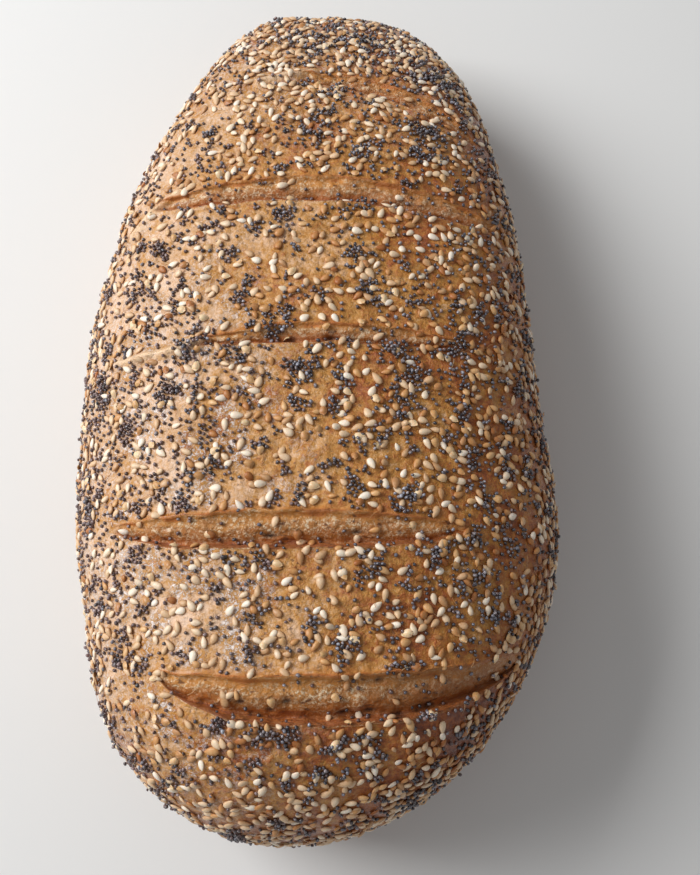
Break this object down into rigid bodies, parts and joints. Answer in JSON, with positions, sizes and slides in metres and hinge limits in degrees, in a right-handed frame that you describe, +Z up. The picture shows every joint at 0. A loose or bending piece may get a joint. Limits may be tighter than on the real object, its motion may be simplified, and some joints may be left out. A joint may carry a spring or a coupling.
{
  "type": "seeded loaf",
  "caption": "Oval hearth-baked loaf with a flat base, scores across its domed top and a crust covered in sesame and poppy seeds.",
  "frame": {"origin": "under the middle of the loaf's box, on its flat base", "axes": "+Z up; +Y along the loaf, from the blunt end to the tapered end"},
  "size_m": [0.1402, 0.2552, 0.0885],
  "materials": {
    "crust": "baked golden-brown crust, uneven, with a soft sheen",
    "sesame": "ivory to toasted sesame seed skin, satin",
    "poppy": "blue-grey to near-black poppy seed skin, satin"
  },
  "bodies": {
    "root": {"loaf": "crust"}
  },
  "joints": []
}
